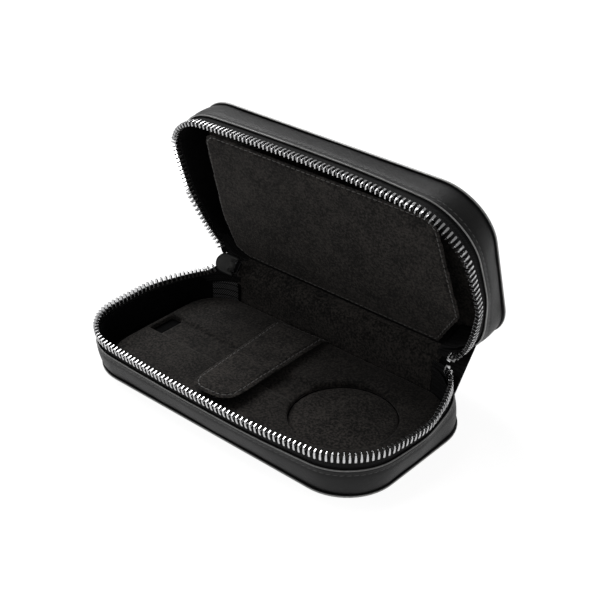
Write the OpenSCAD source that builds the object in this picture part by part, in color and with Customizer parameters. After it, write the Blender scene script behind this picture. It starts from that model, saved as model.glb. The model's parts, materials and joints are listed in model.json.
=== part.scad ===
// Zip-around leather case for one watch and small jewellery, shown with its lid open.
// Millimetres, +Z up. The origin is the centre of the base's flat underside,
// +X runs along the case's length, and the spine that hinges the lid is at +Y.

/* [Case] */
// Length of the flat outer panels
case_len = 170; // [160:1:190]
// Depth of the flat outer panels, front edge to spine
case_wid = 88.8; // [86:0.2:100]
// Corner radius of the flat outer panels
corner_r = 25; // [22:1:28]
// Height of the base half, from the table to the zip line
base_h = 21.8; // [21:0.2:24]
// Height of the lid half, from the zip line to its outer face
lid_h = 22.4; // [22:0.2:24]
// Angle that the lid stands open, measured from closed
lid_open = 73; // [60:1:90]

/* [Soft walls] */
// How far the wall swells past the panel in the middle of the front
bulge_front = 6.6; // [4:0.2:8]
// The same at the right front corner
bulge_corner = 1.2; // [0:0.2:3]
// The same at the left front corner, where the wall is slacker
bulge_corner_left = 4.2; // [0:0.2:5]
// The same in the middle of the two ends
bulge_side = 4.8; // [2:0.2:6]
// The same at the two rear corners, where the wall draws in
bulge_rear = -2; // [-3:0.2:0]
// Thickness of the leather of the band and spine
leather_t = 1.3; // [1:0.1:1.6]
// Height of the band's turned top edge above the table
band_top = 14.6; // [13:0.2:16]

/* [Zip] */
// Distance from one tooth to the next
tooth_pitch = 2.5; // [2.4:0.1:3]
// Height of one tooth, from its legs to the tip of its head
tooth_h = 4; // [3.5:0.1:4.2]
// Thickness of the zip through tape and teeth
tooth_t = 2.4; // [2:0.1:2.6]
// Diameter of the leather pull tab
tab_d = 10.4; // [9:0.2:10.4]

/* [Insert] */
// Height of the insert's suede top above the table
insert_top = 6.5; // [6:0.1:7]
// Diameter of the recess for the watch
recess_d = 50; // [44:1:52]
// Place of the recess along the case
recess_x = 42.5; // [40:0.5:45]
// Width of the shallow channel for the watch strap
channel_w = 16; // [12:1:20]

/* [Retaining flap] */
// Length of the flap from its rear seam to its tip
flap_len = 69; // [60:1:70]
// Width of the flap at its seam
flap_root_w = 30; // [26:1:32]
// Width of the flap near its tip
flap_tip_w = 25; // [22:1:26]

/* [Divider] */
// Width of the padded divider in the lid
divider_w = 145; // [130:1:146]
// Height of the divider above its seam
divider_h = 79; // [70:1:80]

/* [Hidden] */
$fn = 64;

// Colours
black_leather = [0.13, 0.13, 0.13];
edge_leather = [0.2, 0.2, 0.2];
black_tape = [0.07, 0.07, 0.07];
dark_suede = [0.2, 0.19, 0.18];
grey_board = [0.45, 0.43, 0.4];
bright_metal = [0.8, 0.8, 0.8];

// Panels and walls
panel_t = 1.6;
board_t = 1;
floor_z = panel_t + board_t;
foot_inset = 0.8;
board_inset = 2.4;
tape_t = 0.6;
lining_t = 0.7;
suede_t = 1;
tape_tuck = 4;
tape_below_rim = 2.2;
tape_end_drop = 2.4;
drop_run = 15.6;
drop_ramp = 1.6;
half_gap = 0.2;
spine_inset = 0.2;
sewn_gap = 0.2;

// Lengths along the panel's edge, from the middle of the front to the spine
front_run = case_len / 2 - corner_r;
corner_run = PI * corner_r / 2;
side_run = case_wid - 2 * corner_r;
path_len = front_run + 2 * corner_run + side_run;
corner_at = front_run + corner_run / 2;
side_at = front_run + corner_run + side_run / 2;
rear_at = front_run + corner_run + side_run + corner_run * 0.25;
section_step = 3.6;

// Zip
tooth_w = 1.25;
head_w = 0.95;
head_over = 0.6;
head_h = 1.7;
leg_h = 1.3;
leg_gap = 1.3;
right_end_run = 8;
left_end_run = 17.2;
tooth_count = floor((2 * path_len - left_end_run - right_end_run) / tooth_pitch);
slider_len = 8.4;
slider_w = 6.2;
slider_t = 4.2;
slider_gap = 2.6;
slider_x = -67.2;
slider_y = case_wid / 2 - 4.2;
slider_yaw = 18;
pin_x = 4.2;
pin_r = 0.6;
pin_gap = 0.05;
pin_lift = 1.9;
tab_t = 1.8;
tab_drop = 0.6;
tab_reach = 5;
tab_gap = 0.05;

// Insert
insert_len = 156;
insert_wid = 80.6;
insert_r = 20;
pad_t = 0.6;
channel_deep = 0.9;
slot_x0 = -75.8;
slot_x1 = -69.5;
slot_half = 8;
recess_y = -0.4;

// Flap
flap_x = -14.5;
flap_y = 34;
flap_z = 7.3;
flap_yaw = 5;
flap_rise = 2.5;
flap_tip_r = 9;
flap_skin_t = 0.7;
flap_board_t = 1.2;
snap_back = 61;

// Divider, in the lid's own closed place
divider_lift = 4.8;
divider_skin_t = 0.5;
divider_board_t = 1.6;
divider_seam_y = case_wid / 2 - 3.2;
divider_r = 9;
divider_draw_in = 4;
right_cut = [15, 23];
left_cut = [3, 26];
left_nip = [8, 4];

// ---- Shapes along the edge of the case ----

// Eases from 0 to 1 with no slope at either end
function ease(t) = t * t * (3 - 2 * t);

function mix(a, b, t) = a + (b - a) * ease(t);

// How far the rim stands out from the panel at a distance s along its edge
function bulge_at(run, corner) =
    run < corner_at ? mix(bulge_front, corner, pow(run / corner_at, 1.6)) :
    run < side_at ? mix(corner, bulge_side, (run - corner_at) / (side_at - corner_at)) :
    run < rear_at ? mix(bulge_side, bulge_rear, (run - side_at) / (rear_at - side_at)) :
    mix(bulge_rear, 0, (run - rear_at) / (path_len - rear_at));

function bulge(s) = bulge_at(abs(s), s < 0 ? bulge_corner_left : bulge_corner);

function arc_place(centre, angle) =
    [centre[0] + corner_r * cos(angle), centre[1] + corner_r * sin(angle), angle];

// Place and outward direction, [x, y, angle], on the right half of the panel's edge
function half_path(s) =
    let (
        cx = case_len / 2 - corner_r,
        cy = case_wid / 2 - corner_r,
        past_front = s - front_run,
        past_corner = past_front - corner_run,
        past_side = past_corner - side_run,
        turn = 90 / corner_run
    )
    past_front < 0 ? [s, -case_wid / 2, -90] :
    past_corner < 0 ? arc_place([cx, -cy], past_front * turn - 90) :
    past_side < 0 ? [case_len / 2, past_corner - cy, 0] :
    arc_place([cx, cy], past_side * turn);

// The same for either side: s is negative on the left
function path(s) =
    let (p = half_path(abs(s)))
    s < 0 ? [-p[0], p[1], 180 - p[2]] : p;

// A point of the wall: z above the half's outer face, t inwards from the leather's face
function wall_point(s, z, t, rim) =
    let (
        p = path(s),
        out = bulge(s) * (z - panel_t) / (rim - panel_t) - foot_inset - t
    )
    [p[0] + out * cos(p[2]), p[1] + out * sin(p[2]), z];

// How much of end_drop is left at a distance s along the edge: all of it beside the slider
function drop_left(s) = 1 - ease(max(0, min(1, (s + path_len - drop_run) / drop_ramp)));

// A strip of wall round the whole path, between two heights and two depths.
// Its top edge is lower by end_drop at the left end, where the zip's slider parks.
module wall_strip(z0, z1, t0, t1, rim, end_drop = 0) {
    n = ceil(2 * path_len / section_step);
    points = [
        for (i = [0:n])
            let (s = path_len * (2 * i / n - 1), top = z1 - end_drop * drop_left(s))
            for (c = [[z0, t0], [top, t0], [top, t1], [z0, t1]]) wall_point(s, c[0], c[1], rim)
    ];
    sides = [
        for (i = [0:n - 1], j = [0:3])
            [4 * i + j, 4 * i + (j + 1) % 4, 4 * i + 4 + (j + 1) % 4, 4 * i + 4 + j]
    ];
    polyhedron(points, concat([[3, 2, 1, 0]], sides, [[4 * n, 4 * n + 1, 4 * n + 2, 4 * n + 3]]));
}

module rounded_plate(l, w, r, h) {
    linear_extrude(h) {
        square([l - 2 * r, w], center = true);
        square([l, w - 2 * r], center = true);
        for (x = [-1, 1], y = [-1, 1]) translate([x * (l / 2 - r), y * (w / 2 - r)]) circle(r);
    }
}

// ---- Pieces that both halves have, drawn with their outer face on z = 0 ----

module outer_panel() {
    rounded_plate(case_len, case_wid, corner_r, panel_t);
}

module stiff_board() {
    translate([0, 0, panel_t])
        rounded_plate(
            case_len - 2 * board_inset, case_wid - 2 * board_inset, corner_r - board_inset, board_t
        );
}

module band(rim) {
    wall_strip(panel_t, band_top, 0, leather_t, rim);
}

// The tape is lower for a short way at its left end, to clear the slider
module zip_tape(rim) {
    low = band_top - tape_tuck;
    outer = leather_t + sewn_gap;
    wall_strip(low, rim - tape_below_rim, outer, outer + tape_t, rim, end_drop = tape_end_drop);
}

module wall_lining(rim) {
    outer = leather_t + tape_t + 2 * sewn_gap;
    wall_strip(floor_z, band_top - 1, outer, outer + lining_t, rim);
}

// One tooth: two legs that straddle the tape's edge, and a narrower head above them
module tooth() {
    neck = tooth_h - head_h;
    difference() {
        rotate([90, 0, 0])
            linear_extrude(tooth_t, center = true)
                polygon([
                    [-tooth_w / 2, 0], [tooth_w / 2, 0], [tooth_w / 2, neck], [head_w / 2, neck],
                    [head_w / 2, tooth_h], [-head_w / 2, tooth_h], [-head_w / 2, neck],
                    [-tooth_w / 2, neck]
                ]);
        translate([-tooth_w, -leg_gap / 2, -1])
            cube([2 * tooth_w, leg_gap, leg_h + 1]);
    }
}

// shift moves one half's teeth by half a pitch, so that the heads pass between each other
module zip_teeth(rim, shift) {
    middle = leather_t + sewn_gap + tape_t / 2;
    legs_z = rim + head_over - tooth_h + leg_h / 2;
    for (i = [0:tooth_count - 2]) {
        s = -path_len + left_end_run + (i + shift) * tooth_pitch + tooth_w;
        p = wall_point(s, legs_z, middle, rim);
        translate([p[0], p[1], rim + head_over - tooth_h])
            rotate([0, 0, path(s)[2] + 90])
                tooth();
    }
}

// A strip across the spine, between the slider and the right end of the zip
module spine_strip(y, t, low, high) {
    half = front_run - spine_inset;
    translate([-half, y, low]) cube([2 * half, t, high - low]);
}

module spine_leather(rim) {
    y = case_wid / 2 - foot_inset - leather_t;
    spine_strip(y, leather_t, panel_t, rim - half_gap);
}

module spine_suede(low, high) {
    y = case_wid / 2 - foot_inset - leather_t - suede_t;
    spine_strip(y, suede_t, low, high);
}

// ---- Places ----

// Turns its children about the spine's crease, towards open
module turned_open(angle) {
    translate([0, case_wid / 2, base_h])
        rotate([-angle, 0, 0])
            translate([0, -case_wid / 2, -base_h])
                children();
}

// Takes a half drawn on z = 0 to the lid's place
module in_lid() {
    turned_open(lid_open)
        translate([0, 0, base_h + lid_h])
            mirror([0, 0, 1])
                children();
}

// Takes a piece drawn round the slider's middle, closed, to its place at the zip's left end
module at_slider() {
    turned_open(lid_open / 2)
        translate([slider_x, slider_y, base_h])
            rotate([0, 0, slider_yaw])
                children();
}

// Takes a piece drawn at the flap's seam, flat, to its place
module at_flap() {
    translate([flap_x, flap_y, flap_z])
        rotate([-flap_rise, 0, flap_yaw])
            children();
}

// ---- Base ----

module base_outer_panel() {
    color(edge_leather) outer_panel();
}

module base_board() {
    color(grey_board) stiff_board();
}

module base_band() {
    color(black_leather) band(base_h);
}

module base_zip_tape() {
    color(black_tape) zip_tape(base_h);
}

module base_zip_teeth() {
    color(bright_metal) zip_teeth(base_h, 0);
}

module base_wall_lining() {
    color(black_tape) wall_lining(base_h);
}

module base_spine_leather() {
    color(black_leather) spine_leather(base_h);
}

module base_spine_suede() {
    color(dark_suede) spine_suede(floor_z, base_h - half_gap);
}

// Foam under suede, with the watch recess, the strap channel and the well for the buckle
module base_insert() {
    color(dark_suede)
        difference() {
            translate([0, 0, floor_z])
                rounded_plate(insert_len, insert_wid, insert_r, insert_top - floor_z);
            translate([recess_x, recess_y, floor_z - 1])
                cylinder(d = recess_d, h = insert_top);
            translate([slot_x0, -slot_half, floor_z - 1])
                cube([slot_x1 - slot_x0, 2 * slot_half, insert_top]);
            translate([slot_x1 - 1, -channel_w / 2, insert_top - channel_deep])
                cube([recess_x - slot_x1, channel_w, insert_top]);
        }
}

module recess_pad() {
    color(dark_suede)
        translate([recess_x, recess_y, floor_z])
            cylinder(d = recess_d, h = pad_t);
}

// The sewn-down root of the retaining flap
module flap_anchor() {
    color(dark_suede)
        translate([flap_x - flap_root_w / 2, flap_y + 2.9, insert_top])
            cube([flap_root_w, 3, flap_skin_t]);
}

module snap_stud() {
    reach = snap_back * cos(flap_rise);
    color(bright_metal)
        translate([flap_x + reach * sin(flap_yaw), flap_y - reach * cos(flap_yaw), insert_top]) {
            cylinder(r = 4, h = 0.6);
            cylinder(r = 1.8, h = 1.9);
        }
}

// ---- Lid ----

module lid_outer_panel() {
    color(edge_leather) in_lid() outer_panel();
}

module lid_board() {
    color(grey_board) in_lid() stiff_board();
}

module lid_band() {
    color(black_leather) in_lid() band(lid_h);
}

module lid_zip_tape() {
    color(black_tape) in_lid() zip_tape(lid_h);
}

module lid_zip_teeth() {
    color(bright_metal) in_lid() zip_teeth(lid_h, 0.5);
}

module lid_wall_lining() {
    color(black_tape) in_lid() wall_lining(lid_h);
}

module lid_spine_leather() {
    color(black_leather) in_lid() spine_leather(lid_h);
}

module lid_spine_suede() {
    color(dark_suede) in_lid() spine_suede(lid_h - divider_lift, lid_h - half_gap);
}

// ---- Divider: a stiff panel that parts the lid's pocket from the base ----

// Outline with its seam on y = 0: round top corners, lower corners cut back
module divider_outline() {
    half = divider_w / 2;
    arc_x = half - divider_draw_in - divider_r;
    arc_y = divider_r - divider_h;
    polygon(concat(
        [[left_cut[0] + left_nip[0] - half, 0], [left_cut[0] - half, -left_nip[1]]],
        [[-half, -left_cut[1]]],
        [for (a = [185:9.5:270]) [divider_r * cos(a) - arc_x, divider_r * sin(a) + arc_y]],
        [for (a = [270:9.5:355]) [divider_r * cos(a) + arc_x, divider_r * sin(a) + arc_y]],
        [[half, -right_cut[1]], [half - right_cut[0], 0]]
    ));
}

module divider_layer(low, t) {
    turned_open(lid_open)
        translate([0, divider_seam_y, base_h + divider_lift + low])
            linear_extrude(t)
                divider_outline();
}

module divider_front_suede() {
    color(dark_suede) divider_layer(0, divider_skin_t);
}

module divider_board() {
    color(grey_board) divider_layer(divider_skin_t, divider_board_t);
}

module divider_back_suede() {
    color(dark_suede) divider_layer(divider_skin_t + divider_board_t, divider_skin_t);
}

// ---- Retaining flap ----

// Tapers from the seam, on y = 0, to a round-cornered tip
module flap_outline() {
    tip_x = flap_tip_w / 2 - flap_tip_r;
    tip_y = flap_tip_r - flap_len;
    polygon(concat(
        [[-flap_root_w / 2, 0]],
        [for (a = [180:10:270]) [flap_tip_r * cos(a) - tip_x, flap_tip_r * sin(a) + tip_y]],
        [for (a = [270:10:360]) [flap_tip_r * cos(a) + tip_x, flap_tip_r * sin(a) + tip_y]],
        [[flap_root_w / 2, 0]]
    ));
}

module flap_layer(low, t) {
    at_flap() translate([0, 0, low]) linear_extrude(t) flap_outline();
}

module flap_under_suede() {
    color(dark_suede) flap_layer(0, flap_skin_t);
}

module flap_board() {
    color(grey_board) flap_layer(flap_skin_t, flap_board_t);
}

module flap_top_suede() {
    color(dark_suede) flap_layer(flap_skin_t + flap_board_t, flap_skin_t);
}

module snap_socket() {
    color(bright_metal)
        at_flap()
            translate([0, -snap_back, -0.7])
                cylinder(r = 4.2, h = 0.7);
}

// ---- Slider at the zip's left end, drawn with both tapes' plane on y = 0 ----

// The clamp that joins the two tapes behind the slider
module zip_end_stop() {
    color(bright_metal)
        at_slider()
            translate([slider_len / 2 + 0.3, -1.2, -2])
                cube([1.4, 2.4, 4]);
}

// Two plates with the tapes between them, a post that parts the teeth, and the pin's two ears
module zip_slider() {
    plate_t = (slider_t - slider_gap) / 2;
    color(bright_metal)
        at_slider() {
            for (y = [-slider_t / 2, slider_gap / 2])
                translate([-slider_len / 2, y, -slider_w / 2])
                    cube([slider_len, plate_t, slider_w]);
            translate([-slider_len / 2, -slider_t / 2, -0.8])
                cube([1.6, slider_t, 1.6]);
            for (z = [-slider_w / 2, slider_w / 2 - 1])
                translate([pin_x - 0.9, -slider_t / 2 - pin_lift - pin_r, z])
                    cube([1.8, pin_lift + pin_r + 0.2, 1]);
            translate([pin_x, -slider_t / 2 - pin_lift, -slider_w / 2])
                cylinder(r = pin_r, h = slider_w);
        }
}

module pull_ring() {
    length = slider_w - 2.6;
    color(bright_metal)
        at_slider()
            translate([pin_x, -slider_t / 2 - pin_lift, -length / 2])
                difference() {
                    cylinder(r = pin_r + 0.6, h = length);
                    translate([0, 0, -1]) cylinder(r = pin_r + pin_gap, h = length + 2);
                }
}

// A tongue of leather: round at its free end, straight where it meets the ring
module pull_tab() {
    straight = tab_reach - pin_r - 0.6 - tab_gap;
    color(edge_leather)
        at_slider()
            translate([pin_x - tab_reach, -slider_t / 2 - pin_lift, -tab_drop])
                rotate([90, 0, 0])
                    linear_extrude(tab_t, center = true) {
                        intersection() {
                            circle(d = tab_d);
                            translate([-tab_d, -tab_d / 2]) square([tab_d, tab_d]);
                        }
                        translate([-0.1, -tab_d / 2]) square([straight + 0.1, tab_d]);
                    }
}

base_outer_panel();
base_board();
base_band();
base_zip_tape();
base_zip_teeth();
base_wall_lining();
base_spine_leather();
base_spine_suede();
base_insert();
recess_pad();
flap_anchor();
snap_stud();
lid_outer_panel();
lid_board();
lid_band();
lid_zip_tape();
lid_zip_teeth();
lid_wall_lining();
lid_spine_leather();
lid_spine_suede();
divider_board();
divider_front_suede();
divider_back_suede();
flap_board();
flap_top_suede();
flap_under_suede();
snap_socket();
zip_end_stop();
zip_slider();
pull_ring();
pull_tab();
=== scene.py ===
import json
import math

import bmesh
import bpy
import numpy as np
from mathutils import Matrix, Vector


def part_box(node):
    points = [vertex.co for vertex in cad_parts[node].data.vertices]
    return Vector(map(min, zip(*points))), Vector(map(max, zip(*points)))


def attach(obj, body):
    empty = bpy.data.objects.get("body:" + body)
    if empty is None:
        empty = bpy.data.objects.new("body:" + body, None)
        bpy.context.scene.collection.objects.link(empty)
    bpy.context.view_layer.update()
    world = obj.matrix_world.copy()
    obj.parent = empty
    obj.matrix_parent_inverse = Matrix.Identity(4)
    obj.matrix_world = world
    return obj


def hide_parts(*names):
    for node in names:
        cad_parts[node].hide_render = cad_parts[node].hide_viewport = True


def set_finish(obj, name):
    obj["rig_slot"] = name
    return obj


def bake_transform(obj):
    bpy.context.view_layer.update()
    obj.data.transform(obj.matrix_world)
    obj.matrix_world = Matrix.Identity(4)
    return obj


# A zip-around leather case with suede inside, standing open. Everything is in metres.
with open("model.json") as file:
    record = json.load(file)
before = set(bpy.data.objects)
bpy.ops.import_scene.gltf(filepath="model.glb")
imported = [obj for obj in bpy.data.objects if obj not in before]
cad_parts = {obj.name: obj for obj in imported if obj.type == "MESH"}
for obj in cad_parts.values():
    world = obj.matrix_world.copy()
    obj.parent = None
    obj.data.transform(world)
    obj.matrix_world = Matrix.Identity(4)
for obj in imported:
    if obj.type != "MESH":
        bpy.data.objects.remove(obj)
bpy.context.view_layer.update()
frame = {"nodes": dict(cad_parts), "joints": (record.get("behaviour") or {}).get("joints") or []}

MM = 0.001
JOINTS = {joint["name"]: joint for joint in frame["joints"]}


def box_size(node_name):
    low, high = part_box(node_name)
    return [high[axis] - low[axis] for axis in range(3)]


# ---- Sizes. The case's own come from the frame; the rest are the leatherwork's. ----
HINGE_Y, HINGE_Z = JOINTS["lid_hinge"]["pos_m"][1:]
LID_OPEN = math.radians(-JOINTS["lid_hinge"]["range_deg"][0])
CASE_LEN, CASE_WID, PANEL_T = box_size("base_outer_panel")
BASE_H = HINGE_Z
LID_H = 22.4 * MM
CORNER_R = 25 * MM

BULGE_FRONT = 6.6 * MM
BULGE_CORNER = 1.2 * MM
BULGE_CORNER_LEFT = 4.2 * MM
BULGE_SIDE = 4.8 * MM
BULGE_REAR = -2 * MM

FOOT_INSET = 0.8 * MM
LEATHER_T = 1.3 * MM
TAPE_T = 0.6 * MM
LINING_T = 0.7 * MM
FLOOR_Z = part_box("base_board")[1][2]
BAND_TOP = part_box("base_band")[1][2]
TAPE_TUCK = 4 * MM
TAPE_END_DROP = 2.4 * MM

TOOTH_PITCH = 2.5 * MM
TOOTH_H = 4 * MM
HEAD_OVER = 0.6 * MM
LEFT_END_RUN = 14.7 * MM
RIGHT_END_RUN = 6 * MM

FRONT_RUN = CASE_LEN / 2 - CORNER_R
CORNER_RUN = math.pi * CORNER_R / 2
SIDE_RUN = CASE_WID - 2 * CORNER_R
PATH_LEN = FRONT_RUN + 2 * CORNER_RUN + SIDE_RUN
CORNER_AT = FRONT_RUN + CORNER_RUN / 2
SIDE_AT = FRONT_RUN + CORNER_RUN + SIDE_RUN / 2
REAR_AT = FRONT_RUN + CORNER_RUN * 1.25 + SIDE_RUN
TOOTH_COUNT = math.floor((2 * PATH_LEN - LEFT_END_RUN - RIGHT_END_RUN) / TOOTH_PITCH)


# ---- The path round the case's edge, the same one as the CAD walls follow ----
def even(first, last, count):
    """Numbers from first to last, in count equal steps."""
    return [first + (last - first) * i / count for i in range(count + 1)]


def ease(t):
    t = min(1.0, max(0.0, t))
    return t * t * (3 - 2 * t)


def mix(a, b, t):
    return a + (b - a) * ease(t)


def bulge(s):
    """How far the rim stands out from the panel, s along the edge from the front's middle."""
    corner = BULGE_CORNER_LEFT if s < 0 else BULGE_CORNER
    run = abs(s)
    if run < CORNER_AT:
        return mix(BULGE_FRONT, corner, (run / CORNER_AT) ** 1.6)
    if run < SIDE_AT:
        return mix(corner, BULGE_SIDE, (run - CORNER_AT) / (SIDE_AT - CORNER_AT))
    if run < REAR_AT:
        return mix(BULGE_SIDE, BULGE_REAR, (run - SIDE_AT) / (REAR_AT - SIDE_AT))
    return mix(BULGE_REAR, 0, (run - REAR_AT) / (PATH_LEN - REAR_AT))


def path(s):
    """Place x, y and outward direction nx, ny on the panel's edge; s is negative on the left."""
    side = -1 if s < 0 else 1
    run = abs(s)
    cx = CASE_LEN / 2 - CORNER_R
    cy = CASE_WID / 2 - CORNER_R
    past_corner = run - FRONT_RUN - CORNER_RUN
    past_side = past_corner - SIDE_RUN
    if run < FRONT_RUN:
        return side * run, -CASE_WID / 2, 0.0, -1.0
    if past_corner < 0:
        turn = past_corner / CORNER_R
        nx, ny = math.cos(turn), math.sin(turn)
        return side * (cx + CORNER_R * nx), CORNER_R * ny - cy, side * nx, ny
    if past_side < 0:
        return side * CASE_LEN / 2, past_corner - cy, float(side), 0.0
    turn = past_side / CORNER_R
    nx, ny = math.cos(turn), math.sin(turn)
    return side * (cx + CORNER_R * nx), CORNER_R * ny + cy, side * nx, ny


def wall_point(s, z, t, rim):
    """A point of a wall: z above its half's outer face, t inwards from the leather's face."""
    x, y, nx, ny = path(s)
    out = bulge(s) * (z - PANEL_T) / (rim - PANEL_T) - FOOT_INSET - t
    return Vector((x + out * nx, y + out * ny, z))


def turned_open(angle):
    """Turns about the spine's crease, towards open."""
    crease = Vector((0, HINGE_Y, HINGE_Z))
    return Matrix.Translation(crease) @ Matrix.Rotation(-angle, 4, "X") @ Matrix.Translation(-crease)


MIRROR_UP = Matrix(((1, 0, 0, 0), (0, 1, 0, 0), (0, 0, -1, BASE_H + LID_H), (0, 0, 0, 1)))
IN_BASE = Matrix.Identity(4)
IN_LID = turned_open(LID_OPEN) @ MIRROR_UP
HALVES = {"base": (IN_BASE, BASE_H, 0.0), "lid": (IN_LID, LID_H, 0.5)}


# Near the spine both zip chains and their tapes twist towards each other, and meet halfway.
TWIST_FROM = 22 * MM
TWIST_FULL = 10.5 * MM
SIDES = {"left": -1, "right": 1}


def standing_point(half, s, z, t):
    """The wall point of a half where the case stands open, twisted near the ends of the zip."""
    place, rim, _ = HALVES[half]
    to_end = PATH_LEN - abs(s)
    near_spine = ease((TWIST_FROM - to_end) / (TWIST_FROM - TWIST_FULL))
    above_band = ease((z - BAND_TOP) / (rim - BAND_TOP))
    turn = LID_OPEN / 2 * near_spine * above_band * (1 if half == "base" else -1)
    return turned_open(turn) @ place @ wall_point(s, z, t, rim)


def blend_end(piece):
    """Bakes an end piece's placement into its mesh."""
    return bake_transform(piece)


def spans():
    """The three lengths of the zip: its two ends, which bend, and the rest, which stays on its half."""
    inner = PATH_LEN - TWIST_FROM
    return {"left": (-PATH_LEN, -inner), "long": (-inner, inner), "right": (inner, PATH_LEN)}


# ---- Meshes ----
def add_piece(name, verts, faces, material, slot, smooth=True, uv=None):
    """A mesh object from points and faces; uv gives one (u, v) for each point, in metres."""
    mesh = bpy.data.meshes.new(name)
    mesh.from_pydata([tuple(v) for v in verts], [], faces)
    if uv is not None:
        layer = mesh.uv_layers.new(name="UVMap")
        for loop in mesh.loops:
            layer.data[loop.index].uv = uv[loop.vertex_index]
    mesh.validate()
    return finish_piece(linked(name, mesh), material, slot, smooth)


def linked(name, mesh):
    """An object of the scene made from a mesh, its faces turned outwards."""
    clean = bmesh.new()
    clean.from_mesh(mesh)
    bmesh.ops.recalc_face_normals(clean, faces=clean.faces)
    clean.to_mesh(mesh)
    clean.free()
    piece = bpy.data.objects.new(name, mesh)
    bpy.context.scene.collection.objects.link(piece)
    return piece


def give_material(piece, material):
    piece.data.materials.clear()
    piece.data.materials.append(material)


def finish_piece(piece, material, slot, smooth=True):
    give_material(piece, material)
    piece.data.polygons.foreach_set("use_smooth", [smooth] * len(piece.data.polygons))
    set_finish(piece, slot)
    return piece


def ring_faces(rows, cols, first=0, wrap_rows=False, wrap_cols=True):
    """Quads of a grid of points stored row by row."""
    faces = []
    for i in range(rows if wrap_rows else rows - 1):
        for j in range(cols if wrap_cols else cols - 1):
            a, b = i, (i + 1) % rows
            c = (j + 1) % cols
            near, far = first + a * cols, first + b * cols
            faces.append([near + j, far + j, far + c, near + c])
    return faces


def capped_rings(rows, cols):
    """Quads between rings of points, with a face over each end."""
    return ring_faces(rows, cols) + [list(range(cols)), list(range((rows - 1) * cols, rows * cols))]


def paint_rings(piece, cols, first, last, material):
    """Gives a second material to the faces between two of a piece's rings."""
    piece.data.materials.append(material)
    for face in piece.data.polygons:
        met = {index // cols for index in face.vertices}
        if len(met) == 2 and min(met) >= first and max(met) <= last:
            face.material_index = 1


def swept(name, rows, material, slot, place, uv_rows=None):
    """A closed strip: each row is one cross-section, and both ends are capped."""
    verts = [place @ point for row in rows for point in row]
    faces = capped_rings(len(rows), len(rows[0]))
    uv = [pair for row in uv_rows for pair in row] if uv_rows else None
    return add_piece(name, verts, faces, material, slot, uv=uv)


def apply_modifiers(piece):
    """Replaces the piece's mesh with what its modifiers make of it."""
    bpy.context.view_layer.update()
    seen = piece.evaluated_get(bpy.context.evaluated_depsgraph_get())
    mesh = bpy.data.meshes.new_from_object(seen)
    old = piece.data
    piece.modifiers.clear()
    piece.data = mesh
    mesh.name = old.name
    bpy.data.meshes.remove(old)
    return piece


def modified(piece, kind, **values):
    """Replaces the piece's mesh with what one new modifier makes of it."""
    modifier = piece.modifiers.new(kind.title(), kind)
    for key, value in values.items():
        setattr(modifier, key, value)
    return apply_modifiers(piece)


def join_copies(name, mesh_points, mesh_faces, places, material, slot):
    """One piece made of a small mesh repeated at each place, a 4 x 4 matrix."""
    base = np.array([(*p, 1.0) for p in mesh_points])
    verts = []
    faces = []
    for number, place in enumerate(places):
        moved = base @ np.array(place).T
        verts.extend(moved[:, :3].tolist())
        faces.extend([[index + number * len(base) for index in face] for face in mesh_faces])
    return add_piece(name, verts, faces, material, slot)


def frame_matrix(origin, along, up):
    """A place with local X along the seam and local Z up from the surface."""
    x = Vector(along).normalized()
    y = Vector(up).cross(x).normalized()
    z = x.cross(y)
    place = Matrix((x, y, z)).transposed().to_4x4()
    place.translation = origin
    return place


def bead_mesh(length, width, height, rings=5, sides=8):
    """A thread's visible stitch: a rounded bead, length along X."""
    points = [(-length / 2, 0, 0)]
    for i in range(1, rings + 1):
        turn = math.pi * i / (rings + 1)
        for j in range(sides):
            around = 2 * math.pi * j / sides
            radius = math.sin(turn) ** 0.6
            points.append((
                -length / 2 * math.cos(turn),
                width / 2 * radius * math.cos(around),
                height / 2 * radius * math.sin(around),
            ))
    points.append((length / 2, 0, 0))
    last = len(points) - 1
    faces = ring_faces(rings, sides, first=1)
    for j in range(sides):
        faces.append([0, 1 + j, 1 + (j + 1) % sides])
        faces.append([last, last - sides + (j + 1) % sides, last - sides + j])
    return points, faces


STITCH_STEP = 2.9 * MM
STITCH_LEN = 2.3 * MM
THREAD_W = 0.55 * MM
THREAD_H = 0.42 * MM
STITCH_SLANT = 0.10


def stitch_row(name, points, ups, material, slot, body=None, closed=False):
    """Stitches evenly spaced on a polyline that lies on a surface with the given up directions."""
    points = [Vector(p) for p in points]
    if closed:
        points = points + [points[0]]
        ups = list(ups) + [ups[0]]
    lengths = [0.0]
    for a, b in zip(points, points[1:]):
        lengths.append(lengths[-1] + (b - a).length)
    count = max(1, round(lengths[-1] / STITCH_STEP))
    spacing = lengths[-1] / count
    places = []
    segment = 0
    for number in range(count):
        at = spacing * (number + 0.5)
        while lengths[segment + 1] < at:
            segment += 1
        share = (at - lengths[segment]) / (lengths[segment + 1] - lengths[segment])
        origin = points[segment].lerp(points[segment + 1], share)
        up = Vector(ups[segment]).lerp(Vector(ups[segment + 1]), share)
        place = frame_matrix(origin, points[segment + 1] - points[segment], up)
        places.append(place @ Matrix.Rotation(STITCH_SLANT, 4, "Z"))
    bead = bead_mesh(STITCH_LEN, THREAD_W, THREAD_H)
    piece = join_copies(name, *bead, places, material, slot)
    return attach(piece, body) if body else piece


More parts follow.
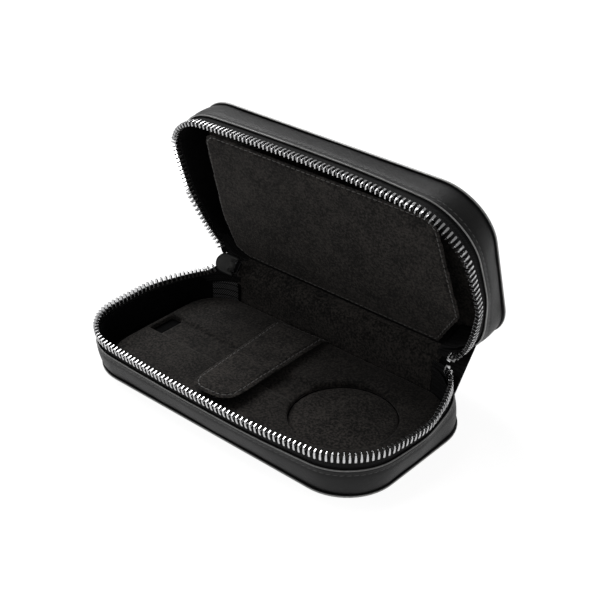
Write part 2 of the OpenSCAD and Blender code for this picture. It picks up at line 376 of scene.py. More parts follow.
# ---- Materials ----
class Graph:
    """A material's node tree, with short ways to add and join nodes."""

    def __init__(self, name):
        self.material = bpy.data.materials.new(name)
        self.material.use_nodes = True
        self.tree = self.material.node_tree
        self.shader = self.tree.nodes["Principled BSDF"]
        self.coords = self.add("ShaderNodeTexCoord")

    def add(self, kind, **values):
        node = self.tree.nodes.new(kind)
        for key, value in values.items():
            if key in node.bl_rna.properties:
                setattr(node, key, value)
            else:
                node.inputs[key].default_value = value
        return node

    def join(self, out_node, out_name, in_node, in_name):
        self.tree.links.new(out_node.outputs[out_name], in_node.inputs[in_name])
        return in_node

    def math(self, operation, first, second=None, third=None):
        node = self.add("ShaderNodeMath", operation=operation)
        for slot_number, value in enumerate((first, second, third)):
            if value is None:
                continue
            if isinstance(value, (int, float)):
                node.inputs[slot_number].default_value = value
            else:
                self.tree.links.new(value, node.inputs[slot_number])
        return node.outputs[0]

    def texture(self, kind, **values):
        """A texture node laid on the piece's own coordinates."""
        return self.join(self.coords, "Object", self.add(kind, **values), "Vector")

    def noise(self, scale, detail=4.0, roughness=0.55):
        values = {"Scale": scale, "Detail": detail, "Roughness": roughness}
        return self.texture("ShaderNodeTexNoise", **values).outputs["Fac"]

    def wave(self, scale, distortion, direction="DIAGONAL"):
        values = {"Scale": scale, "Distortion": distortion, "bands_direction": direction}
        return self.texture("ShaderNodeTexWave", **values).outputs["Fac"]

    def fibres(self, stretch, detail, roughness):
        """Noise drawn out along an axis: one scale for each axis."""
        mapping = self.texture("ShaderNodeMapping", Scale=stretch)
        node = self.add("ShaderNodeTexNoise", Scale=1.0, Detail=detail, Roughness=roughness)
        return self.join(mapping, "Vector", node, "Vector").outputs["Fac"]

    def ridge(self, value):
        """1 at whole numbers, down to 0 halfway between them."""
        return self.math("ABSOLUTE", self.math("MULTIPLY_ADD", self.math("FRACT", value), 2.0, -1.0))

    def ramp(self, value, stops):
        """Maps a value to colours: stops are (position, (r, g, b))."""
        node = self.add("ShaderNodeValToRGB")
        elements = node.color_ramp.elements
        while len(elements) < len(stops):
            elements.new(0.5)
        for element, (position, colour) in zip(elements, stops):
            element.position = position
            element.color = (*colour, 1.0)
        self.tree.links.new(value, node.inputs["Fac"])
        return node.outputs["Color"]

    def bump(self, height, distance, strength=1.0, below=None):
        node = self.add("ShaderNodeBump", Strength=strength, Distance=distance)
        self.tree.links.new(height, node.inputs["Height"])
        if below is not None:
            self.tree.links.new(below, node.inputs["Normal"])
        return node.outputs["Normal"]

    def set(self, **values):
        """Numbers and colours the same all over go on the shader; anything else is linked to it."""
        for key, value in values.items():
            socket = self.shader.inputs[key.replace("_", " ")]
            if isinstance(value, bpy.types.NodeSocket):
                self.tree.links.new(value, socket)
            else:
                socket.default_value = value
        return self.material

    def simple(self, texture, dark, light, strength, **values):
        """The same texture gives the colour, between two stops, and a low relief."""
        relief = self.bump(texture, 0.05 * MM, strength)
        return self.set(Base_Color=self.ramp(texture, [dark, light]), Normal=relief, **values)


def leather_material(name, dark, light, rough_low, rough_high, grain=1.0):
    """Smooth black leather: pores, a pebbled grain and faintly worn patches."""
    g = Graph(name)
    pores = g.add("ShaderNodeTexVoronoi", feature="DISTANCE_TO_EDGE", Scale=2600.0)
    wobble = g.add("ShaderNodeVectorMath", operation="ADD")
    drift = g.texture("ShaderNodeTexNoise", Scale=900.0, Detail=2.0)
    small = g.add("ShaderNodeVectorMath", operation="SCALE", Scale=0.5 * MM)
    g.join(drift, "Color", small, 0)
    g.join(g.coords, "Object", wobble, 0)
    g.tree.links.new(small.outputs["Vector"], wobble.inputs[1])
    g.join(wobble, "Vector", pores, "Vector")
    cells = g.ramp(pores.outputs["Distance"], [(0.0, (0, 0, 0)), (0.22, (1, 1, 1))])
    wear = g.noise(70.0, 5.0, 0.6)
    speck = g.noise(2400.0, 3.0, 0.6)
    relief = g.bump(cells, 0.05 * MM * grain, 0.55)
    relief = g.bump(speck, 0.04 * MM * grain, 0.5, relief)
    pebble = g.add("ShaderNodeTexVoronoi", feature="SMOOTH_F1", Scale=950.0, Smoothness=0.6)
    g.join(wobble, "Vector", pebble, "Vector")
    relief = g.bump(pebble.outputs["Distance"], 0.07 * MM * grain, 0.55, relief)
    relief = g.bump(g.noise(160.0, 3.0), 0.25 * MM, 0.35, relief)
    return g.set(
        Base_Color=g.ramp(wear, [(0.3, dark), (0.72, light)]),
        Roughness=g.math("MULTIPLY_ADD", wear, rough_high - rough_low, rough_low),
        Normal=relief,
        Specular_IOR_Level=0.19,
    )


def suede_material(name, dark, mid, warm):
    """Brushed suede: short nap, brown mottling and patches where the nap lies differently."""
    g = Graph(name)
    nap = g.noise(2600.0, 4.0, 0.75)
    fibres = g.fibres((1900.0, 900.0, 1900.0), 3.0, 0.7)
    patches = g.noise(95.0, 5.0, 0.65)
    mottle = g.noise(900.0, 3.0, 0.7)
    blend = g.math("MULTIPLY_ADD", mottle, 0.60, g.math("MULTIPLY", patches, 0.22))
    blend = g.math("MULTIPLY_ADD", nap, 0.30, g.math("MULTIPLY", blend, 0.88))
    relief = g.bump(nap, 0.10 * MM, 0.9)
    relief = g.bump(fibres, 0.08 * MM, 0.8, relief)
    relief = g.bump(patches, 0.5 * MM, 0.30, relief)
    return g.set(
        Base_Color=g.ramp(blend, [(0.445, dark), (0.50, mid), (0.57, warm)]),
        Roughness=0.95,
        Sheen_Weight=0.06,
        Sheen_Roughness=0.45,
        Sheen_Tint=(0.85, 0.80, 0.76, 1.0),
        Specular_IOR_Level=0.15,
        Normal=relief,
    )


def herringbone_material(name, dark, light, column_w=1.9 * MM, rib_w=0.95 * MM):
    """Zip tape: diagonal ribs that turn back at each column, u along the tape and v across it."""
    g = Graph(name)
    split = g.add("ShaderNodeSeparateXYZ")
    g.join(g.coords, "UV", split, "Vector")
    along, across = split.outputs["X"], split.outputs["Y"]
    column = g.math("DIVIDE", across, column_w)
    odd = g.math("MODULO", g.math("FLOOR", column), 2.0)
    lean = g.math("MULTIPLY_ADD", odd, -2.0, 1.0)
    slant = g.math("MULTIPLY", g.math("FRACT", column), column_w)
    phase = g.math("DIVIDE", g.math("MULTIPLY_ADD", slant, lean, along), rib_w)
    seam = g.math("GREATER_THAN", g.ridge(column), 0.86)
    ribs = g.math("MULTIPLY", g.ridge(phase), g.math("MULTIPLY_ADD", seam, -0.6, 1.0))
    relief = g.bump(ribs, 0.16 * MM, 1.0)
    relief = g.bump(g.noise(3200.0, 3.0, 0.7), 0.05 * MM, 0.6, relief)
    # The colour follows the ribs' relief: painted shade in the grooves and along the column seams, painted
    # highlight on the rib tops.
    return g.set(
        Base_Color=g.ramp(ribs, [(0.35, dark), (0.9, light)]),
        Roughness=0.8,
        Specular_IOR_Level=0.12,
        Normal=relief,
    )


def cloth_material(name, dark, light):
    """Fine plain-woven lining."""
    g = Graph(name)
    weave = g.math("MULTIPLY", g.wave(700.0, 0.4), g.wave(700.0, 0.4, "Z"))
    relief = g.bump(weave, 0.06 * MM, 0.6)
    relief = g.bump(g.noise(500.0, 4.0), 0.1 * MM, 0.4, relief)
    return g.set(
        Base_Color=g.ramp(g.noise(300.0, 4.0), [(0.35, dark), (0.7, light)]),
        Roughness=0.85,
        Specular_IOR_Level=0.05,
        Normal=relief,
    )


def metal_material(name, colour, rough_low, rough_high, scratch=0.02):
    """Polished plating with hairline scratches, handling marks and a little cloudiness."""
    g = Graph(name)
    cloud = g.noise(500.0, 4.0, 0.6)
    lines = g.fibres((600.0, 9000.0, 1500.0), 2.0, 0.6)
    tone = tuple(channel * 0.86 for channel in colour)
    return g.set(
        Base_Color=g.ramp(cloud, [(0.3, tone), (0.65, colour)]),
        Metallic=1.0,
        Roughness=g.math("MULTIPLY_ADD", cloud, rough_high - rough_low, rough_low),
        Normal=g.bump(lines, scratch * MM, 0.35),
    )


def thread_material(name, dark, light):
    """Twisted sewing thread."""
    g = Graph(name)
    twist = g.wave(1500.0, 1.5)
    return g.simple(twist, (0.2, dark), (0.8, light), 0.7, Roughness=0.62, Sheen_Weight=0.2)


def painted_edge_and_highlight_material(name, dark, light):
    """Edge paint on cut leather, glossier than the hide, with tiny runs; given light grey, it is also a
    painted highlight along an edge or lip.
    """
    g = Graph(name)
    runs = g.noise(900.0, 3.0, 0.5)
    rough = g.math("MULTIPLY_ADD", runs, 0.2, 0.28)
    return g.simple(
        runs, (0.3, dark), (0.7, light), 0.5, Roughness=rough, Coat_Weight=0.25, Coat_Roughness=0.3
    )


def board_material(name, dark, light):
    """Pressed grey board, with its fibres."""
    g = Graph(name)
    return g.simple(g.noise(1200.0, 5.0, 0.7), (0.35, dark), (0.7, light), 0.5, Roughness=0.9)


LEATHER = leather_material("black_leather", (0.0035, 0.0035, 0.0037), (0.008, 0.008, 0.0082), 0.40, 0.56)
PANEL_LEATHER = leather_material(
    "panel_leather", (0.005, 0.005, 0.0053), (0.009, 0.009, 0.0093), 0.42, 0.56, 1.2
)
# The panels' painted edges in light grey: real edge paint, lightened as a painted highlight along the edge.
EDGE_PAINT_AND_HIGHLIGHT = painted_edge_and_highlight_material("edge_paint_and_highlight", (0.13, 0.13, 0.128), (0.22, 0.22, 0.215))
SUEDE = suede_material("suede", (0.0015, 0.0013, 0.0012), (0.0095, 0.0088, 0.0082), (0.030, 0.0265, 0.0240))
# A darker copy of the suede for the insert alone: painted shade.
SHADED_INSERT_SUEDE = suede_material(
    "insert_suede", (0.0011, 0.0010, 0.0009), (0.0070, 0.0065, 0.0060), (0.022, 0.0195, 0.0177)
)
TAPE = herringbone_material("herringbone_tape", (0.0006, 0.0006, 0.0007), (0.020, 0.020, 0.0205))
# A lighter copy of the tape for the base's left inner tape: a stronger painted highlight on its rib tops.
LIT_INNER_TAPE = herringbone_material(
    "inner_tape", (0.0006, 0.0006, 0.0007), (0.085, 0.085, 0.086), 3.4 * MM, 1.35 * MM
)
# A lighter copy of the black leather for the pull tab: painted highlight.
LIT_TAB_LEATHER = leather_material("tab_leather", (0.018, 0.018, 0.0176), (0.030, 0.030, 0.029), 0.50, 0.62)
LINING = cloth_material("wall_lining", (0.0008, 0.0008, 0.0009), (0.002, 0.002, 0.0022))
# The band's turned lip in light grey: a painted highlight along the top of the band.
LIP_PAINTED_HIGHLIGHT = painted_edge_and_highlight_material("lip_painted_highlight", (0.13, 0.13, 0.128), (0.21, 0.21, 0.207))
ZIP_METAL = metal_material("zip_metal", (0.54, 0.54, 0.545), 0.15, 0.28)
DARK_METAL = metal_material("dark_metal", (0.055, 0.055, 0.058), 0.30, 0.42)
SNAP_METAL = metal_material("snap_metal", (0.42, 0.42, 0.43), 0.25, 0.42, 0.04)
BLACK_THREAD = thread_material("black_thread", (0.004, 0.004, 0.004), (0.016, 0.016, 0.016))
GREY_THREAD = thread_material("grey_thread", (0.018, 0.0175, 0.016), (0.062, 0.059, 0.056))
BOARD = board_material("grey_board", (0.20, 0.18, 0.15), (0.34, 0.31, 0.27))


# ---- Walls: leather band, zip tape, teeth and lining, the same for both halves ----
WALL_STEP = 1.6 * MM
LIP_DROP = 2.4 * MM
BAND_TUCK = 0.3 * MM
FACE_POINTS = 17
SEWN_GAP = 0.2 * MM
TAPE_IN = LEATHER_T + SEWN_GAP
FLOOR_LINING_T = 0.3 * MM
CORD_DROP = 1.5 * MM
LINING_DROP = 4.6 * MM
DROP_RUN = 12.6 * MM
DROP_RAMP = 2 * MM
INNER_TAPE_LEN = 17 * MM
INNER_TAPE_TOP = {"left": 15.4 * MM, "right": 18.4 * MM}
INNER_TAPE_FALL = 1.6 * MM
INNER_TAPE_T = 0.5 * MM
WEB_REACH = {"left": 18 * MM, "right": 21 * MM}
WEB_W = 24 * MM
WEB_TUCK = 3 * MM


def wall_runs(step=WALL_STEP):
    """Distances along the edge from the left end of the path to the right one."""
    return even(-PATH_LEN, PATH_LEN, math.ceil(2 * PATH_LEN / step))


def soft_wave(s, z):
    """The small unevenness of hand-turned leather."""
    waves = 0.10 * math.sin(s * 71 + 1.3) + 0.07 * math.sin(s * 163 + z * 210)
    return (waves + 0.04 * math.sin(s * 397 - z * 90)) * MM


def band_leather(half):
    """The band's hide, turned in at the top and pulled down a little along its stitches."""
    place, rim, _ = HALVES[half]
    stitch_z = BAND_TOP - LIP_DROP
    radius = LEATHER_T / 2
    low, lip = PANEL_T - BAND_TUCK, BAND_TOP - radius
    rows = []
    for s in wall_runs():
        row = []
        for z in even(low, lip, FACE_POINTS - 1):
            rise = (z - PANEL_T) / (BAND_TOP - PANEL_T)
            belly = 0.45 * MM * math.sin(math.pi * max(0.0, rise)) + soft_wave(s, z)
            groove = 0.30 * MM * math.exp(-((z - stitch_z) / (0.75 * MM)) ** 2)
            foot = 0.5 * MM * math.exp(-max(0.0, z - PANEL_T) / (0.9 * MM))
            row.append(wall_point(s, z, groove + foot - belly, rim))
        for i in range(1, 8):
            turn = math.pi * i / 8
            z = lip + radius * math.sin(turn)
            row.append(wall_point(s, z, radius - radius * math.cos(turn) - soft_wave(s, z) * 0.5, rim))
        row += [wall_point(s, z, LEATHER_T, rim) for z in (lip, low)]
        rows.append(row)
    piece = swept(f"{half}_band_leather", rows, LEATHER, "black_leather", place)
    # The lip's faces take the light grey lip colour, a painted highlight.
    piece.data.materials.append(LIP_PAINTED_HIGHLIGHT)
    cols = len(rows[0])
    for face in piece.data.polygons:
        around = [index % cols for index in face.vertices]
        if len(around) == 4 and min(around) >= FACE_POINTS and max(around) <= FACE_POINTS + 3:
            face.material_index = 1
    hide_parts(f"{half}_band")
    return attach(piece, half)


def band_stitches(half):
    place, rim, _ = HALVES[half]
    z = BAND_TOP - LIP_DROP
    points = []
    ups = []
    for s in wall_runs(1.2 * MM):
        _, _, nx, ny = path(s)
        points.append(place @ wall_point(s, z, 0.12 * MM - soft_wave(s, z), rim))
        ups.append(place.to_3x3() @ Vector((nx, ny, 0)))
    return stitch_row(f"{half}_band_stitches", points, ups, BLACK_THREAD, "black_leather", half)


def tape_drop(s):
    """The tape's edge is lower at the left end, beside the slider."""
    return TAPE_END_DROP * (1 - ease((s + PATH_LEN - DROP_RUN) / DROP_RAMP))


def zip_tape(half, span):
    """Woven tape with a corded edge that the teeth grip; u runs along it and v across."""
    rim = HALVES[half][1]
    cord_r = 0.55 * MM
    low = BAND_TOP - TAPE_TUCK
    middle = TAPE_IN + TAPE_T / 2
    first, last = spans()[span]
    rows = []
    uv = []
    for s in even(first, last, math.ceil((last - first) / WALL_STEP)):
        top = rim - CORD_DROP - tape_drop(s)
        outside = [(z, TAPE_IN) for z in even(low, top - cord_r, 6)]
        cord = []
        for i in range(1, 8):
            turn = math.pi * i / 8
            cord.append((top - cord_r + cord_r * math.sin(turn), middle - cord_r * math.cos(turn)))
        inside = [(z, TAPE_IN + TAPE_T) for z, _ in reversed(outside)]
        section = outside + cord + inside
        rows.append([standing_point(half, s, z, t - soft_wave(s, z) * 0.4) for z, t in section])
        uv.append([(s, z) for z, _ in section])
    piece = swept(f"{half}_{span}_tape", rows, TAPE, "woven_tape", Matrix.Identity(4), uv)
    if span in SIDES:
        return blend_end(piece)
    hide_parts(f"{half}_zip_tape")
    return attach(piece, half)


def tooth_mesh():
    """A metal tooth standing on z = 0: wide legs, a waist and a thinner head; its edges are broken."""
    half_t = 1.2 * MM
    outline = [
        (-0.50, 0.0), (0.50, 0.0), (0.53, 1.5), (0.45, 2.1), (0.30, 2.5), (0.33, 3.1), (0.38, 3.6),
        (0.28, 3.95), (-0.28, 3.95), (-0.38, 3.6), (-0.33, 3.1), (-0.30, 2.5), (-0.45, 2.1), (-0.53, 1.5),
    ]
    mesh = bmesh.new()
    front = [mesh.verts.new((x * MM, -half_t, z * MM)) for x, z in outline]
    back = [mesh.verts.new((x * MM, half_t, z * MM)) for x, z in outline]
    mesh.faces.new(front)
    mesh.faces.new(list(reversed(back)))
    for i in range(len(outline)):
        j = (i + 1) % len(outline)
        mesh.faces.new([front[j], front[i], back[i], back[j]])
    rims = [edge for edge in mesh.edges if abs(edge.verts[0].co.y - edge.verts[1].co.y) < 1e-9]
    bmesh.ops.bevel(mesh, geom=rims, offset=0.17 * MM, segments=2, profile=0.6, affect="EDGES")
    for vert in mesh.verts:
        if vert.co.z > 2.6 * MM:
            vert.co.y *= 0.80
    mesh.verts.ensure_lookup_table()
    mesh.verts.index_update()
    points = [tuple(v.co) for v in mesh.verts]
    faces = [[v.index for v in face.verts] for face in mesh.faces]
    mesh.free()
    return points, faces


def zip_teeth(half, span):
    _, rim, shift = HALVES[half]
    middle = TAPE_IN + TAPE_T / 2
    first, last = spans()[span]
    places = []
    for i in range(TOOTH_COUNT - 1):
        s = LEFT_END_RUN - PATH_LEN + (i + shift + 0.5) * TOOTH_PITCH
        if not first <= s < last:
            continue
        foot = standing_point(half, s, rim + HEAD_OVER - TOOTH_H, middle)
        head = standing_point(half, s, rim + HEAD_OVER, middle)
        back, on = (standing_point(half, s + step, rim, middle) for step in (-0.5 * MM, 0.5 * MM))
        places.append(frame_matrix(foot, on - back, head - foot))
    piece = join_copies(f"{half}_{span}_teeth", *tooth_mesh(), places, ZIP_METAL, "zip_metal")
    piece.data.polygons.foreach_set("use_smooth", [False] * len(piece.data.polygons))
    if span in SIDES:
        return blend_end(piece)
    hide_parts(f"{half}_zip_teeth")
    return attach(piece, half)


def corner_tape(half, side):
    """The end of the zip tape, turned down inside the wall beside the spine."""
    rim = HALVES[half][1]
    inner = LEATHER_T + TAPE_T + LINING_T + 3 * SEWN_GAP
    rows = []
    uv = []
    for number in range(13):
        s = SIDES[side] * (PATH_LEN - 1.2 * MM - INNER_TAPE_LEN * number / 12)
        top = INNER_TAPE_TOP[side] - INNER_TAPE_FALL * number / 12
        heights = even(FLOOR_Z + 0.4 * MM, top, 9)
        section = [(z, inner) for z in heights] + [(z, inner + INNER_TAPE_T) for z in reversed(heights)]
        rows.append([standing_point(half, s, z, t + soft_wave(s * 2, z)) for z, t in section])
        uv.append([(s, z) for z, _ in section])
    # The base's left inner tape takes the lighter copy, with more painted highlight on its ribs.
    material = LIT_INNER_TAPE if (half, side) == ("base", "left") else TAPE
    piece = swept(f"{half}_{side}_inner_tape", rows, material, "woven_tape", Matrix.Identity(4), uv)
    return blend_end(piece)


def corner_web(side):
    """Tape folded between the two bands outside the zip's end; from the spine it opens like a fan."""
    reach = WEB_REACH[side]
    crease = Vector((0, HINGE_Y - 1.2 * MM, HINGE_Z))
    across = 14
    rows = 16
    verts = []
    uv = []
    for to_end in even(0.0, reach, rows):
        s = SIDES[side] * (PATH_LEN - to_end)
        low, high = (
            place @ wall_point(s, BAND_TOP - WEB_TUCK, TAPE_IN, rim) for place, rim, _ in HALVES.values()
        )
        middle = (low + high) / 2
        share = ease(to_end / reach)
        control = Vector((middle.x, *(crease.lerp(middle, share)).yz))
        for u in even(0.0, 1.0, across):
            verts.append(low * (1 - u) ** 2 + control * (2 * u * (1 - u)) + high * u ** 2)
            uv.append((to_end, u * WEB_W))
    faces = ring_faces(rows + 1, across + 1, wrap_cols=False)
    piece = add_piece(f"{side}_corner_web", verts, faces, TAPE, "woven_tape", uv=uv)
    modified(piece, "SOLIDIFY", thickness=TAPE_T, offset=0)
    return blend_end(piece)


def wall_lining(half):
    """Lining cloth inside the wall, up to the legs of the teeth, and lower beside the spine."""
    place, rim, _ = HALVES[half]
    outer = LEATHER_T + TAPE_T + 2 * SEWN_GAP
    rows = []
    for s in wall_runs(2.4 * MM):
        top = rim - LINING_DROP - tape_drop(s)
        to_end = PATH_LEN - abs(s)
        top = mix(top, BAND_TOP - 0.4 * MM, (TWIST_FROM + 3 * MM - to_end) / (3 * MM))
        row = []
        for i, z in enumerate(even(FLOOR_Z, top, 8)):
            puff = 0.35 * MM * math.sin(math.pi * i / 8) + abs(soft_wave(s * 1.7, z))
            row.append(wall_point(s, z, outer + LINING_T * 0.6 + puff, rim))
        row.append(wall_point(s, top + 0.2 * MM, outer + LINING_T * 0.2, rim))
        row.append(wall_point(s, top, outer, rim))
        row.append(wall_point(s, FLOOR_Z, outer, rim))
        rows.append(row)
    piece = swept(f"{half}_wall_cloth", rows, LINING, "wall_lining", place)
    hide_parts(f"{half}_wall_lining")
    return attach(piece, half)


# ---- Flat outlines and what is made from them ----
def arc_points(cx, cy, radius, start, end, steps):
    """Points of an arc, its angles in degrees."""
    turns = [math.radians(angle) for angle in even(start, end, steps)]
    return [(cx + radius * math.cos(turn), cy + radius * math.sin(turn)) for turn in turns]


def rectangle(x0, x1, half_y):
    return [(x0, -half_y), (x1, -half_y), (x1, half_y), (x0, half_y)]


def rounded_outline(length, width, radius):
    """Points round a rounded rectangle, counter-clockwise, straight sides divided too."""
    corners = [(1, -1, -90), (1, 1, 0), (-1, 1, 90), (-1, -1, 180)]
    points = []
    for side_x, side_y, start in corners:
        cx, cy = side_x * (length / 2 - radius), side_y * (width / 2 - radius)
        points += arc_points(cx, cy, radius, start, start + 90, 14)
    return divided(points, 4 * MM)


def divided(points, step):
    """Splits the long sides of a closed outline, so that no side is longer than step."""
    result = []
    for a, b in zip(points, points[1:] + points[:1]):
        count = max(1, math.ceil(math.dist(a, b) / step))
        result += [tuple(p + (q - p) * i / count for p, q in zip(a, b)) for i in range(count)]
    return result


def panel_outline(inset):
    """The panel's outline, drawn in all round."""
    return rounded_outline(CASE_LEN - 2 * inset, CASE_WID - 2 * inset, CORNER_R - inset)


def outer_panel(half):
    """A leather-covered panel with a rounded, painted edge; its middle is flat on the outside."""
    place, _, _ = HALVES[half]
    rings = [
        (5.0, 0.0), (3.0, 0.02), (1.6, 0.06), (0.9, 0.14), (0.45, 0.32), (0.14, 0.60), (0.0, 0.90),
        (0.02, 1.15), (0.16, 1.42), (0.42, 1.58), (0.8, 1.60), (2.2, 1.58),
    ]
    verts = []
    for inset, z in rings:
        verts += [place @ Vector((x, y, z * MM)) for x, y in panel_outline(inset * MM)]
    cols = len(verts) // len(rings)
    faces = capped_rings(len(rings), cols)
    piece = add_piece(f"{half}_panel_leather", verts, faces, PANEL_LEATHER, "edge_leather")
    # The edge's rings take the light grey edge paint, partly a painted highlight.
    paint_rings(piece, cols, 5, 8, EDGE_PAINT_AND_HIGHLIGHT)
    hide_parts(f"{half}_outer_panel")
    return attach(piece, half)


def floor_cloth(half):
    """The cloth glued over the stiffening board, seen in the gap round the insert."""
    place, _, _ = HALVES[half]
    inset = 2.6 * MM
    verts = []
    for z, more in ((FLOOR_Z + 0.02 * MM, 0.0), (FLOOR_Z + FLOOR_LINING_T, 0.15 * MM)):
        verts += [place @ Vector((x, y, z)) for x, y in panel_outline(inset + more)]
    faces = capped_rings(2, len(verts) // 2)
    material, slot = (LINING, "wall_lining") if half == "base" else (SUEDE, "suede")
    piece = add_piece(f"{half}_floor_cloth", verts, faces, material, slot, smooth=False)
    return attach(piece, half)


# ---- Padded pieces ----
SEAM_IN = 2.1 * MM


def edge_distance(points, outline):
    """Distance of each point in the plane from a closed outline."""
    points = np.asarray(points)[:, None, :2]
    a = np.asarray(outline)[None, :, :2]
    b = np.roll(a, -1, axis=1)
    along = b - a
    share = np.clip(((points - a) * along).sum(2) / (along ** 2).sum(2), 0, 1)
    return np.sqrt((((points - a - along * share[..., None])) ** 2).sum(2)).min(1)


def slab(outline, low, high):
    """A plain closed slab with the outline's shape."""
    verts = [(x, y, z) for z in (low, high) for x, y in outline]
    mesh = bpy.data.meshes.new("slab")
    mesh.from_pydata(verts, [], capped_rings(2, len(outline)))
    return linked("slab", mesh)


def rounded_off(piece, voxel, times):
    """Rebuilds a cover as an even mesh, and softens its edges."""
    modified(piece, "REMESH", mode="VOXEL", voxel_size=voxel)
    modified(piece, "SMOOTH", factor=0.5, iterations=times)


def vertices_of(piece):
    co = np.empty(len(piece.data.vertices) * 3)
    piece.data.vertices.foreach_get("co", co)
    return co.reshape(-1, 3)


def set_vertices(piece, co):
    piece.data.vertices.foreach_set("co", co.reshape(-1))
    piece.data.update()


CLOTH_FRAMES = 14
CLOTH = {
    "quality": 4, "mass": 0.15, "tension_stiffness": 12, "compression_stiffness": 12,
    "shear_stiffness": 6, "bending_stiffness": 1.5, "use_pressure": True,
}


def filled(piece, pressure, cap):
    """Lets the stuffing swell the cover by cloth simulation; no point moves further than cap."""
    before = vertices_of(piece)
    cloth = piece.modifiers.new("Cloth", "CLOTH")
    for key, value in CLOTH.items():
        setattr(cloth.settings, key, value)
    cloth.settings.uniform_pressure_force = pressure
    cloth.settings.effector_weights.gravity = 0
    cloth.point_cache.frame_start = 1
    cloth.point_cache.frame_end = CLOTH_FRAMES
    scene = bpy.context.scene
    for number in range(1, CLOTH_FRAMES + 1):
        scene.frame_set(number)
    apply_modifiers(piece)
    scene.frame_set(1)
    after = vertices_of(piece)
    moved = after - before
    far = np.linalg.norm(moved, axis=1)[:, None]
    set_vertices(piece, before + moved * np.minimum(1.0, cap / np.maximum(far, 1e-9)))
    return piece


def padded_panel(name, outline, thickness, voxel, crown):
    """A stuffed panel lying on z = 0 .. thickness: thin at its sewn edge, with a seam line all round."""
    piece = slab(divided(outline, 3 * MM), 0.15 * thickness, 0.85 * thickness)
    piece.name = name
    rounded_off(piece, voxel, 4)
    filled(piece, 3.0, 0.35 * MM)
    modified(piece, "SUBSURF", levels=1, render_levels=1)
    co = vertices_of(piece)
    depth = edge_distance(co, outline)
    middle = thickness / 2
    flat = co[:, 2] - middle
    rise = 1.0 - 0.55 * np.exp(-(depth / (1.5 * MM)) ** 2)
    rise += crown * (1.0 - np.exp(-((depth / (14 * MM)) ** 2)))
    rise -= 0.42 * np.exp(-(((depth - SEAM_IN) / (0.55 * MM)) ** 2))
    waves = 0.06 * MM * (np.sin(co[:, 0] * 190 + co[:, 1] * 60) + np.sin(co[:, 1] * 230 - co[:, 0] * 40))
    co[:, 2] = middle + flat * rise + waves * np.sign(flat) * (depth > 3 * MM)
    set_vertices(piece, co)
    return piece


def inset_outline(outline, inset):
    """The line that runs inset inside a smooth closed outline."""
    points = divided(outline, MM)
    result = []
    for i, here in enumerate(points):
        before, after = points[i - 1], points[(i + 1) % len(points)]
        tangent = Vector((after[0] - before[0], after[1] - before[1], 0)).normalized()
        result.append((here[0] - tangent.y * inset, here[1] + tangent.x * inset))
    gaps = edge_distance(result, outline)
    return [point for point, gap in zip(result, gaps) if gap > inset * 0.97]


def panel_stitches(name, piece_local, outline, thickness, place, body, side):
    """Stitches along a padded panel's seam, laid on its surface; side is 1 for the top, -1 for below."""
    line = inset_outline(outline, SEAM_IN)
    surface = vertices_of(piece_local)
    surface = surface[(surface[:, 2] - thickness / 2) * side > 0]
    points = []
    for x, y in line:
        near = ((surface[:, :2] - (x, y)) ** 2).sum(1).argmin()
        points.append(Vector((x, y, surface[near, 2] + side * 0.10 * MM)))
    heights = [p.z for p in points]
    for i, point in enumerate(points):
        window = [heights[(i + k) % len(heights)] for k in range(-3, 4)]
        point.z = sum(window) / len(window)
    up = (place.to_3x3() @ Vector((0, 0, side))).normalized()
    points = [place @ p for p in points]
    return stitch_row(name, points, [up] * len(points), GREY_THREAD, "suede", body, closed=True)


# ---- The insert ----
INSERT_LOW, INSERT_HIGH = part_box("base_insert")
RECESS_LOW, RECESS_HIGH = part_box("recess_pad")
RECESS_X = (RECESS_LOW[0] + RECESS_HIGH[0]) / 2
RECESS_Y = (RECESS_LOW[1] + RECESS_HIGH[1]) / 2
RECESS_R = (RECESS_HIGH[0] - RECESS_LOW[0]) / 2
INSERT_TOP = INSERT_HIGH[2]
INSERT_R = 20 * MM
SLOT_X0, SLOT_X1, SLOT_HALF = -75.8 * MM, -68.4 * MM, 8 * MM
CHANNEL_HALF = 8 * MM
CHANNEL_DEEP = 1.5 * MM


def cut_away(piece, cutter):
    modified(piece, "BOOLEAN", operation="DIFFERENCE", solver="EXACT", object=cutter)
    bpy.data.objects.remove(cutter)


def insert_pad():
    """Foam under suede: every edge is rolled, and the recess, channel and well are pressed in."""
    length = INSERT_HIGH[0] - INSERT_LOW[0]
    width = INSERT_HIGH[1] - INSERT_LOW[1]
    outline = rounded_outline(length, width, INSERT_R)
    piece = slab(outline, FLOOR_Z + FLOOR_LINING_T, INSERT_TOP)
    piece.name = "insert_suede"
    circle = arc_points(RECESS_X, RECESS_Y, RECESS_R, 0, 356, 89)
    well = rectangle(SLOT_X0, SLOT_X1, SLOT_HALF)
    channel = rectangle(SLOT_X1 - MM, RECESS_X, CHANNEL_HALF)
    for shape, bottom in ((channel, INSERT_TOP - CHANNEL_DEEP), (circle, 0), (well, 0)):
        cut_away(piece, slab(shape, bottom, INSERT_TOP + 5 * MM))
    rounded_off(piece, 0.75 * MM, 5)
    co = vertices_of(piece)
    high = np.clip((co[:, 2] - FLOOR_Z) / (INSERT_TOP - FLOOR_Z), 0, 1)
    to_edge = edge_distance(co, outline)
    to_circle = edge_distance(co, circle)
    sag = 0.9 * np.exp(-((to_edge / (2.6 * MM)) ** 2)) + 0.45 * np.exp(-((to_circle / (2.0 * MM)) ** 2))
    waves = np.sin(co[:, 0] * 83 + 0.4) * np.sin(co[:, 1] * 97 + 1.1)
    waves += 0.6 * np.sin(co[:, 0] * 171 - co[:, 1] * 149)
    co[:, 2] += (waves * 0.10 - sag) * MM * high
    set_vertices(piece, co)
    # The insert takes the darker copy of the suede, a painted shade.
    finish_piece(piece, SHADED_INSERT_SUEDE, "suede")
    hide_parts("base_insert")
    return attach(piece, "base")


